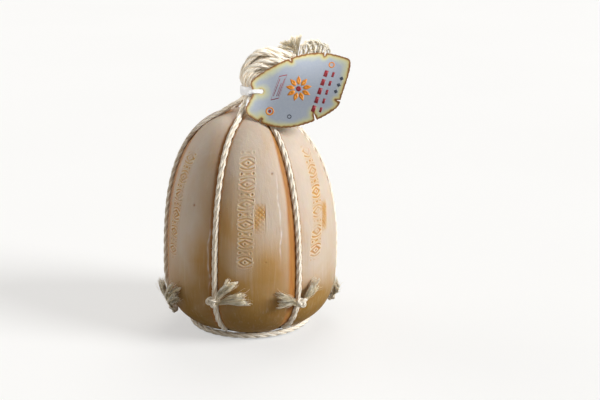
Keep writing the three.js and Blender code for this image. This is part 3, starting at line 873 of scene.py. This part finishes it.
def binding_path(index, shift=0.0, low_t=None):
    """A cord's path: out of the ring, up its groove, and taut to the neck."""
    azimuth = CORD_AZIMUTHS[index]
    top_t = t_at_radius(LEAVING_RADIUS, True)
    low_t = t_at_radius(64.0, False) if low_t is None else low_t
    ts = np.linspace(low_t, top_t, CORD_STATIONS)
    wander = 0.25 * np.sin(np.linspace(0, 9, CORD_STATIONS) + index * 2) + shift
    points = near_surface(ts, azimuth + wander, CORD_LIFT)
    in_neck = NECK + outward(azimuth) * NECK_CIRCLE
    entry = in_neck - np.array([0, 0, NECK_ENTRY_DROP])
    return smooth_path(np.concatenate([points, [mix(points[-1], entry, 0.5), entry, in_neck]]), CORD_STEP)


def cord_radii(path):
    squeeze = smoothstep(path[:, 2], 222, 240)
    return mix(CORD_RADIUS, 2.0, squeeze)


def make_binding_cord(index, material):
    form = Form()
    path = binding_path(index)
    lay_cord(form, path, cord_radii(path), phase=index * 1.3, start=tuple(outward(CORD_AZIMUTHS[index] + 90)))
    add_fuzz(form, path, cord_radii(path), 1.6)
    if index == 0:
        thin, low, stray = SECOND_CORD
        beside = stray * smoothstep(np.linspace(0, 1, CORD_STATIONS), 0.0, 0.5)
        path = binding_path(index, shift=beside, low_t=t_at_height(low))
        lay_cord(form, path, thin * cord_radii(path), pitch=22.0, start=tuple(outward(4.0)))
    form.make(f"binding_cord_{index + 1}", material, [f"cord_{index + 1}"])


def make_foot_ring(material):
    angle = np.linspace(0, 2 * math.pi, RING_POINTS, endpoint=False)
    centre = near_surface(t_at_radius(RING_RADIUS, False), 0.0, CORD_LIFT + UNEVENNESS, False)
    level = np.full(RING_POINTS, max(centre[2], CORD_RADIUS + 0.3))
    path = np.stack([RING_RADIUS * np.cos(angle), RING_RADIUS * np.sin(angle), level], axis=1)
    form = Form()
    lay_cord(form, path, CORD_RADIUS, closed=True, start=(1.0, 0.0, 0.0))
    form.make("foot_ring_laid", material, ["foot_ring"])


def knot_frame(index):
    azimuth = CORD_AZIMUTHS[index]
    t = t_at_height(KNOT_HEIGHTS[index])
    ahead = near_surface(t + 1e-3, azimuth, 0.0, False) - near_surface(t - 1e-3, azimuth, 0.0, False)
    up = unit(ahead)
    around = outward(azimuth + 90)
    away = np.cross(around, up)
    centre = near_surface(t, azimuth, 2 * CORD_RADIUS + KNOT_STANDOFF)
    return centre, around, up, away


def make_knot(index, material):
    """An overhand knot: a three-lobed path pulled tight, and a turn round the cord behind it."""
    centre, around, up, away = knot_frame(index)
    angle = np.linspace(0, 2 * math.pi, 90, endpoint=False)
    across = (np.sin(angle) + 2 * np.sin(2 * angle)) / 3 * KNOT_REACH[0]
    along = (np.cos(angle) - 2 * np.cos(2 * angle)) / 3 * KNOT_REACH[1]
    depth = -np.sin(3 * angle) * KNOT_REACH[2]
    path = centre + across[:, None] * around + along[:, None] * up + depth[:, None] * away
    form = Form()
    lay_cord(form, path, KNOT_YARN, pitch=16.0, phase=index, closed=True, start=tuple(away))
    turn = np.linspace(0, 2 * math.pi, 60, endpoint=False)
    collar = centre - away * 4.9
    path = collar + np.cos(turn)[:, None] * around * 4.6 + np.sin(turn)[:, None] * away * 3.9
    path = path + 0.8 * np.sin(turn)[:, None] * up
    lay_cord(form, path, COLLAR_YARN, pitch=14.0, closed=True, start=tuple(up))
    form.make(f"knot_laid_{index + 1}", material, [f"knot_{index + 1}"])


# Each knot's upper and lower tail: how far its head lies along the foot and above the knot,
# and its half width.
TAIL_REACHES = [
    [(52, 33, 8.5), (-10, 27, 7.5)],
    [(22, 24, 4.0), (38, 8, 7.0)],
    [(20, 16, 5.0), (-27, 7, 5.6)],
    [(-16, 18, 5.0), (20, 8, 5.6)],
    [(18, 16, 5.0), (-19, 6, 5.6)],
    [(17, 17, 5.0), (-21, 9, 5.6)],
]
TAIL_LOCKS = 4
TAIL_YARNS = 5


def add_lock(form, path, spread):
    """Kinked yarns that part from each other towards the lock's head, each with its own fibres."""
    _, normals, binormals = frames_along(path)
    share = np.linspace(0, 1, len(path))
    for yarn in range(TAIL_YARNS):
        turn = 2 * math.pi * (yarn + random.uniform(-0.3, 0.3)) / TAIL_YARNS
        apart = spread * random.uniform(0.55, 1.0) * share**1.3
        ripple = 0.5 * share * np.sin(share * 13 + random.uniform(0, 6.3))
        aside = normals * (apart * math.cos(turn) + ripple)[:, None]
        aside = aside + binormals * (apart * math.sin(turn) - ripple)[:, None]
        stop = random.integers(len(path) - 4, len(path) + 1)
        tone = random.uniform(0.3, 1.15)
        add_brush(form, (path + aside)[:stop], 0.5, random.uniform(0.9, 1.3), 14, 0.24, 0.4, tone)


def add_brush(form, path, root_radius, head_radius, count, thickness, kink=0.16, tone=0.6):
    """A lock of loose fibres along a path, thin at its root and blunt at its head."""
    _, normals, binormals = frames_along(path)
    rings = len(path)
    share = np.linspace(0, 1, rings)
    angle = random.uniform(0, 2 * math.pi, count)
    reach = np.sqrt(random.random(count))
    size = mix(root_radius, head_radius, share**1.4) * reach[:, None]
    turn = angle[:, None] + 0.9 * share
    wave = kink * np.sin(share * 11 + random.uniform(0, 6.3, (count, 1))) * share * head_radius
    aside = size * np.cos(turn) + wave
    across = size * np.sin(turn) - wave * random.uniform(-1, 1, (count, 1))
    stop = random.uniform(0.86, 1.02, count)[:, None]
    position = np.clip(share * stop, 0, 1) * (rings - 1)
    base = np.floor(position).astype(int).clip(0, rings - 2)
    part = (position - base)[..., None]
    spine, normal, binormal = (mix(row[base], row[base + 1], part) for row in (path, normals, binormals))
    paths = spine + normal * aside[..., None] + binormal * across[..., None]
    thick = random.uniform(0.7, 1.3, (count, 1)) * thickness * (1 - 0.4 * share**4)
    add_fibres(form, paths, thick, share, np.clip(random.normal(tone, 0.22, count), 0, 1))


def tail_path(index, reach, rise, lift, is_upper):
    centre, around, up, away = knot_frame(index)
    start = centre + around * math.copysign(4.2, reach) + up * (1.6 if is_upper else -1.6)
    turn = math.degrees(reach / CROWN_RADIUS)
    points = [centre - away * 0.5, start]
    for share in (0.4, 0.7, 1.0):
        t = t_at_height(KNOT_HEIGHTS[index] + rise * share)
        above = mix(3.4, lift, share) + 1.2 * math.sin(math.pi * share)
        points.append(near_surface(t, CORD_AZIMUTHS[index] + turn * share, above, False))
    return smooth_path(points, 2.3)


def make_tails(index, material):
    """Each tail is a short frayed cord end that has parted into locks, splayed side by side."""
    for number, (reach, rise, half_width) in enumerate(TAIL_REACHES[index]):
        form = Form()
        long = math.hypot(reach, rise)
        for lock in range(TAIL_LOCKS):
            beside = mix(-half_width, half_width, lock / (TAIL_LOCKS - 1)) + random.uniform(-0.8, 0.8)
            stretch = random.uniform(0.88, 1.1)
            across = (reach - beside * rise / long) * stretch
            upward = (rise + beside * reach / long) * stretch
            path = tail_path(index, across, upward, 3.0 + 3.2 * (lock % 2), number == 0)
            add_lock(form, path, random.uniform(2.2, 2.9))
            add_brush(form, path, 1.2, 4.4, 9, 0.13, kink=0.4)
        form.make(f"tuft_{index + 1}_{number + 1}", material, [f"tail_{index + 1}_{number + 1}"])


# Hank above the seal

# Stations along the hank's middle line, and its radius there.
HANK_STATIONS = [
    [-0.8, -2, 247.8, 5.3],
    [-0.9, -2, 252.6, 5.5],
    [-1.2, -0.6, 261, 8.2],
    [4, 1.5, 269.5, 10],
    [13.5, 2.5, 277, 11.6],
    [25, 3, 279.3, 11.9],
    [36, 3, 278.3, 9.6],
    [44.5, 2.5, 277.8, 6.1],
    [50, 2.5, 277.5, 5.2],
]
HANK_OUTER = 8
HANK_TURNS = 0.32
WHIPPING_TURNS = 3.2
WHIPPING_POINTS = 150
BRUSH_LOCKS = 13


def hank_line():
    stations = np.array(HANK_STATIONS, float)
    line = smooth_path(stations[:, :3], 1.0)
    known = lengths_along(stations[:, :3])
    share = np.linspace(0, 1, len(line))
    radius = np.interp(share, known / known[-1], stations[:, 3])
    _, normals, binormals = frames_along(line)
    return line, share, radius, normals, binormals


def make_hank(material):
    """Eight strands that wander round a ninth."""
    line, share, radius, normals, binormals = hank_line()
    packing = math.sin(math.pi / HANK_OUTER)
    loose = within(share, 0.1, 0.4, 1.0, 0.8)
    for index in range(HANK_OUTER + 1):
        strand = radius * packing / (1 + packing)
        thick = np.minimum(strand * 1.12, 3.3) * (1 + 0.08 * math.sin(index * 2.3))
        wander = 0.8 * loose * np.sin(share * 9 + index * 2.1)
        is_outer = index < HANK_OUTER
        circle_radius = is_outer * (radius - thick + wander)
        angle = 2 * math.pi * (index / HANK_OUTER + HANK_TURNS * share)
        angle = angle + 0.24 * loose * np.sin(share * 7.5 + index * 3.7)
        path = line + turned(normals, binormals, angle) * circle_radius[:, None]
        form = Form()
        lay_cord(form, path, thick, pitch=34.0, phase=index * 1.9)
        add_fuzz(form, path, thick, 2.4, length=3.0)
        form.make(f"hank_laid_{index + 1}", material, [f"hank_strand_{index + 1}"])


def make_whipping(material):
    line, share, _, normals, binormals = hank_line()
    turns = np.linspace(0, 2 * math.pi * WHIPPING_TURNS, WHIPPING_POINTS)
    at = np.interp(np.linspace(0.935, 0.972, WHIPPING_POINTS), share, np.arange(len(line)))
    base = at.astype(int)
    reach = 6.2 + 0.12 * np.sin(turns * 5)
    spine = mix(line[base], line[base + 1], (at - base)[:, None])
    path = spine + turned(normals[base], binormals[base], turns) * reach[:, None]
    form = Form()
    lay_cord(form, path, 0.8, pitch=6.0, start=(1.0, 0.0, 0.0))
    form.make("whipping_turns", material, ["whipping"])


def make_top_brush(material):
    """The unlaid ends that stand up beyond the whipping, in locks that lean to the left."""
    form = Form()
    for lock in range(BRUSH_LOCKS):
        offset = lock / (BRUSH_LOCKS - 1) - 0.5
        angle = math.radians(120 + offset * 72 + random.uniform(-5, 5))
        root = np.array([49.0, 2.5 + random.uniform(-3.6, 3.6), 279.5])
        way = np.array([math.cos(angle), random.uniform(-0.12, 0.16), math.sin(angle)])
        length = random.uniform(14.5, 19.0) * (1.0 + 0.14 * abs(offset))
        bend = root + np.array([0.6, 0, 4.6]) + way * 2
        droop = np.array([-1.2 if angle > 2.1 else 0.4, 0, -1.2])
        path = smooth_path([root, bend, bend + way * length * 0.5, bend + way * length * 0.95 + droop], 1.8)
        add_brush(form, path, 0.9, random.uniform(1.3, 1.9), 55, 0.19, tone=random.uniform(0.5, 0.95))
    names = [f"brush_yarn_{number}" for number in range(1, 6)]
    form.make("brush_fibres", material, names)


CURL_COUNT = 9
CURL_STEP = 0.8


def make_curls(cord, fray):
    """The kinked soft yarns that arch over to the right beyond the whipping, and their loose fibres."""
    names = [f"curl_{number}" for number in range(1, 5)]
    yarns = Form()
    fibres = Form()
    for yarn in range(CURL_COUNT):
        shift = 2.35 * yarn + random.uniform(-0.5, 0.5)
        top = 17.0 + 3.5 * math.sin(math.pi * (yarn + 1.5) / CURL_COUNT) + random.uniform(-0.9, 0.9)
        root = np.array([49.5, 2.5 + random.uniform(-4.0, 4.0), 276.0])
        lean = random.uniform(-0.8, 0.8)
        route = [
            [0, 0, 0],
            [3.0 + 0.75 * shift, lean, 2.5],
            [3.2 + shift, lean, top * 0.5],
            [4.6 + shift, lean * 2, top - 2.2],
            [8.2 + shift, lean * 2, top],
            [12.0 + shift, lean * 2, top - 2.2],
            [14.0 + shift, lean * 2, top - 7.5],
            [13.2 + shift, lean, top - 12.5],
        ]
        path = smooth_path(root + np.array(route), CURL_STEP)
        _, normals, binormals = frames_along(path)
        length = np.arange(len(path)) * CURL_STEP
        kink = 0.45 * smoothstep(length, 3, 10)
        path = path + turned(normals, binormals, length * 0.8 + yarn) * kink[:, None]
        lay_cord(yarns, path, random.uniform(0.85, 1.1), pitch=12.0, phase=yarn * 1.3)
        add_brush(fibres, path, 0.9, 1.25, 7, 0.12, tone=1.0)
    yarns.make("curl_yarns", cord, names)
    fibres.make("curl_fibres", fray, [])


# Seal

SEAL_MIDDLE = 6.5
SEAL_FRONT = 7.0
SEAL_HEIGHT = 9.5
STRAP_SIDES = 20
STRAP_POWER = 2.6
# Where the strap goes by the tag: a point in the card's plane, and a height in front of it.
STRAP_STATIONS = [
    ([-9.5, 1.0], -8.0),
    ([-8.5, 1.4], -1.0),
    ([-5.0, 1.7], 1.9),
    ([-0.4, 2.1], 2.0),
    ([2.2, 2.3], 0.9),
    ([2.9, 2.5], -2.0),
]


def rounded_tube(path, wide, thick, start=(0.0, 1.0, 0.0)):
    """Rings of a rounded strap along a path: wide along the frame's side way, thick along the other."""
    _, normals, binormals = frames_along(path, start)
    columns = section(np.linspace(0, 2 * math.pi, STRAP_SIDES, endpoint=False), STRAP_POWER)
    ends = np.clip(np.minimum(np.arange(len(path)), np.arange(len(path))[::-1]) / 3, 0, 1)
    rounding = np.sqrt(1 - (1 - ends) ** 2 * 0.85)[:, None]
    return rings_round(path, normals * wide * rounding, binormals * thick * rounding, columns)


def make_seal(material):
    """The ribbed band round the neck, its lock in front, and its strap through the tag's hole."""
    form = Form()
    angle = np.linspace(0, 2 * math.pi, 72, endpoint=False)
    corner = np.linspace(0, 2 * math.pi, STRAP_SIDES, endpoint=False)
    across = np.sign(np.cos(corner)) * np.abs(np.cos(corner)) ** 0.9
    upward = np.sign(np.sin(corner)) * np.abs(np.sin(corner)) ** 0.6
    ribs = 0.12 * np.cos(12 * angle)[:, None] * (across > 0)
    reach = SEAL_MIDDLE + 0.75 * across + ribs
    rings = NECK + outward(np.degrees(angle))[:, None] * reach[..., None]
    rings[..., 2] += SEAL_HEIGHT / 2 * upward * (1 - 0.1 * np.cos(2 * angle)[:, None] ** 2)
    form.tubes(rings[None], closed=True)
    lock = np.tile(NECK + np.array([0.8, -SEAL_FRONT - 0.6, 0.0]), (12, 1))
    lock[:, 0] += np.linspace(-4.3, 4.9, 12)
    form.tubes(rounded_tube(lock, 1.7, 4.3)[None])
    root = NECK + np.array([2.6, -SEAL_FRONT - 0.5, -0.4])
    strap = smooth_path([root, *(on_tag(point, height) for point, height in STRAP_STATIONS)], 0.8)
    form.tubes(rounded_tube(strap, 2.1, 0.75, start=tuple(TAG_UP))[None])
    form.make("neck_seal", material, ["seal"])


# Tag

TAG_PLACE = np.array([10.0, -22.4, 247.0])
TAG_RIGHT = unit(np.array([1.0, -0.1, 0.0]))
TAG_FRONT = unit(np.array([-0.1, -1.0, 0.474]))
TAG_UP = np.cross(TAG_FRONT, TAG_RIGHT)
TAG_THICKNESS = 0.8
TAG_BOW = 0.3
TAG_GRID = 1.5
TAG_HOLE = np.array([3.4, 2.5])
TAG_HOLE_RADIUS = 2.5
TAG_HOLE_SIDES = 32
TAG_CORNERS = [
    [-5.2, 14.7], [26.9, 35.3], [57, 43.3], [82.7, 39.9], [91.8, 32.2], [84.5, 1],
    [79, -13], [56.4, -26.9], [31.5, -33.7], [9.2, -31.1], [-10.6, -19.1], [-5, 0],
]
# Burnt notches: the side they are in, how far along it, their depth and their sideways slant.
TAG_NOTCHES = [
    (1, 0.12, 4.4, 0.25),
    (2, 0.32, 4.2, 0.0),
    (5, 0.36, 4.4, 0.25),
    (6, 0.88, 8.0, -0.25),
    (9, 0.24, 5.4, 0.2),
]
PRINT_RISE = 0.05
PRINT_SINK = 0.1
PRINT_SLANT = math.radians(72)


def on_tag(points, height):
    """Places by the card, from points in its own plane and a height in front of its middle."""
    points = np.asarray(points, float)
    return TAG_PLACE + points[..., :1] * TAG_RIGHT + points[..., 1:2] * TAG_UP + TAG_FRONT * height


def on_card(points, height):
    """The same for the card's surface, which bows back a little."""
    points = np.asarray(points, float)
    bow = TAG_BOW * np.sin((points[:, :1] + 10) / 100 * math.pi)
    return on_tag(points, height - bow)


def tag_outline():
    """The card's rim in its own plane, clockwise, with its notches let in and a slightly ragged edge."""
    corners = np.array(TAG_CORNERS, float)
    looped = np.concatenate([corners[-2:], corners, corners[:3]])
    rim = []
    for side in range(len(corners)):
        p0, p1, p2, p3 = looped[side + 1 : side + 5]
        notch = next((item for item in TAG_NOTCHES if item[0] == side), None)
        long = np.linalg.norm(p2 - p1)
        way = unit(p2 - p1)
        inward = np.array([way[1], -way[0]])
        for s in np.arange(0, 1, 0.45 / long):
            bend = (p2 - p0) * s + (2 * p0 - 5 * p1 + 4 * p2 - p3) * s**2 + (3 * p1 - p0 - 3 * p2 + p3) * s**3
            spot = p1 + 0.5 * bend
            depth = 0.14 * math.sin(s * 37 + side * 5) + 0.1 * math.sin(s * 83 + side)
            if notch:
                near = max(0.0, 1 - abs(s - notch[1]) * long)
                depth += notch[2] * near
                spot = spot + way * notch[3] * notch[2] * near
            rim.append(spot + inward * depth)
    return np.array(rim)


def distance_to_loop(points, loop):
    best = np.full(len(points), np.inf)
    for a, b in zip(loop, np.roll(loop, -1, axis=0)):
        span = b - a
        share = np.clip(((points - a) @ span) / max(span @ span, 1e-9), 0, 1)
        best = np.minimum(best, np.linalg.norm(points - (a + share[:, None] * span), axis=1))
    return best


def loop_edges(first, count):
    return [(first + spot, first + (spot + 1) % count) for spot in range(count)]


def inside_loop(points, loop):
    x, y = points[:, 0], points[:, 1]
    inside = np.zeros(len(points), bool)
    for (ax, ay), (bx, by) in zip(loop, np.roll(loop, -1, axis=0)):
        if ay != by:
            crosses = (ay > y) != (by > y)
            inside ^= crosses & (x < (bx - ax) * (y - ay) / (by - ay) + ax)
    return inside


def make_tag(material):
    """The card: its front meshed inside its rim and round its hole, and its back and edges behind that."""
    rim = tag_outline()
    hole = circle(*TAG_HOLE, TAG_HOLE_RADIUS, TAG_HOLE_SIDES)
    columns = np.arange(-12, 94, TAG_GRID)
    rows = np.arange(-35, 45, TAG_GRID)
    grid = np.stack(np.meshgrid(columns, rows, indexing="ij"), axis=-1).reshape(-1, 2)
    clear = inside_loop(grid, rim) & (distance_to_loop(grid, rim) > 0.8)
    clear &= np.linalg.norm(grid - TAG_HOLE, axis=1) > TAG_HOLE_RADIUS + 0.7
    points = np.concatenate([rim, hole, grid[clear]])
    edges = loop_edges(0, len(rim)) + loop_edges(len(rim), TAG_HOLE_SIDES)
    result = geometry.delaunay_2d_cdt([Vector(point) for point in points], edges, [], 0, 1e-6)
    spots = np.array([tuple(point) for point in result[0]])
    triangles = np.array(result[2])
    centres = spots[triangles].mean(axis=1)
    in_card = inside_loop(centres, rim)
    triangles = triangles[in_card & (np.linalg.norm(centres - TAG_HOLE, axis=1) > TAG_HOLE_RADIUS * 0.98)]
    hole_edge = np.linalg.norm(spots - TAG_HOLE, axis=1) - TAG_HOLE_RADIUS
    edge = np.minimum(distance_to_loop(spots, rim), 30)
    edge = np.minimum(edge, np.maximum(hole_edge, 0) + 1.2)
    ones, others = np.array(edges).T
    count = len(spots)
    sides = np.stack([ones, others, others + count, ones + count], axis=1)
    layers = [on_card(spots, TAG_THICKNESS / 2), on_card(spots, -TAG_THICKNESS / 2)]
    form = Form()
    form.add(np.concatenate(layers), [triangles, triangles[:, ::-1] + count, sides], edge=np.tile(edge, 2))
    made = form.make("tag_card", material, ["tag"])
    made.data.polygons.foreach_set("use_smooth", np.zeros(len(made.data.polygons), dtype=bool))


def add_print(form, loop, hole=None):
    """A thin printed field on the card: a ring between two loops, or a filled loop."""
    loop = np.asarray(loop, float)
    centre = loop.mean(axis=0)
    inner = centre + (loop - centre) * 0.02 if hole is None else hole
    top = TAG_THICKNESS / 2 + PRINT_RISE
    low = TAG_THICKNESS / 2 - PRINT_SINK
    layers = [on_card(points, height) for height in (top, low) for points in (loop, inner)]
    index = np.arange(4 * len(loop)).reshape(4, len(loop))
    ahead = np.roll(index, -1, axis=1)
    sides = ((0, 1), (3, 2), (2, 0), (1, 3))
    faces = [np.stack([index[a], ahead[a], ahead[b], index[b]], axis=1) for a, b in sides]
    form.add(np.concatenate(layers), faces)


def circle(x, y, radius, count=40):
    angle = np.linspace(0, 2 * math.pi, count, endpoint=False)
    return np.stack([x + radius * np.cos(angle), y + radius * np.sin(angle)], axis=1)


def bar(x, y, length, width, angle=PRINT_SLANT):
    """The four corners of a bar that lies at an angle."""
    way = np.array([math.cos(angle), math.sin(angle)]) * length / 2
    side = np.array([-math.sin(angle), math.cos(angle)]) * width / 2
    return np.array([x, y]) + np.array([-way - side, way - side, way + side, side - way])


def frame_loop(corners, inset):
    corners = np.asarray(corners, float)
    centre = corners.mean(axis=0)
    return corners, centre + (corners - centre) * inset


def petal(x, y, angle, near, far, width, count=14):
    """A pointed leaf from one reach to another along an angle."""
    s = np.linspace(0, 1, count)
    way = np.array([math.cos(angle), math.sin(angle)])
    across = np.array([-way[1], way[0]]) * (width / 2 * np.sin(math.pi * s**0.8))[:, None]
    spine = np.array([x, y]) + mix(near, far, s)[:, None] * way
    return np.concatenate([(spine + across)[1:-1], (spine - across)[::-1]])


def make_print(red, orange, dark):
    """Generic ornaments: a large rosette, a framed block of hairlines, columns of bars and small discs."""
    form = Form()
    for leaf in range(9):
        add_print(form, petal(41, 6, math.radians(40 * leaf + 12), 4.0, 13.2, 4.6))
    add_print(form, circle(73, 31, 3.1), circle(73, 31, 1.9))
    add_print(form, circle(13.2, -17.5, 4.3), circle(13.2, -17.5, 2.7))
    form.make("tag_print_orange", orange, [])
    form = Form()
    add_print(form, circle(41, 6, 2.7))
    add_print(form, circle(13.2, -17.5, 1.6))
    for number in range(5):
        along = -19 + number * 9.0
        add_print(form, bar(62.5 + along * 0.3, along + 5, 6.6, 3.8))
        add_print(form, bar(69.6 + along * 0.3, along + 4, 5.2, 2.4))
    outer = [[13.5, -6.5], [21.5, -4.4], [29.0, 20.5], [21.0, 18.5]]
    add_print(form, *frame_loop(outer, 0.93))
    for line in range(3):
        add_print(form, bar(19.1 + line * 2.3, 7.0 - 2.4 * (line % 2), 19 - 5 * (line % 2), 0.55))
    form.make("tag_print_red", red, [])
    form = Form()
    for number in range(3):
        add_print(form, bar(78.2 + number * 2.6, 4 + number * 6.6, 3.2, 3.2, PRINT_SLANT + math.pi / 4))
    add_print(form, circle(33, -22.5, 2.2), circle(33, -22.5, 1.3))
    form.make("tag_print_dark", dark, [])


def main():
    set_camera()
    set_light(set_floor())
    # The last colour given to each cord material is painted shade in its twist.
    cord = cord_material("cord", (0.92, 0.83, 0.68), (0.97, 0.90, 0.78), (0.66, 0.42, 0.17))
    soft_cord = cord_material("soft_cord", (0.95, 0.86, 0.71), (0.99, 0.92, 0.80), (0.78, 0.47, 0.14))
    curl_cord = cord_material("curl_cord", (0.98, 0.90, 0.73), (0.99, 0.94, 0.80), (0.96, 0.69, 0.30))
    fray = fray_material()
    make_cheese(rind_material())
    for index in range(len(CORD_AZIMUTHS)):
        make_binding_cord(index, cord)
        make_knot(index, cord)
        make_tails(index, fray)
    make_foot_ring(cord)
    make_hank(soft_cord)
    make_whipping(cord)
    make_top_brush(fray)
    make_curls(curl_cord, fray)
    make_seal(seal_material())
    make_tag(card_material())
    make_print(
        print_material("print_red", (0.27, 0.012, 0.02), (0.36, 0.03, 0.04)),
        print_material("print_orange", (0.72, 0.22, 0.012), (0.78, 0.3, 0.03)),
        print_material("print_dark", (0.03, 0.045, 0.07), (0.07, 0.08, 0.1)),
    )


main()
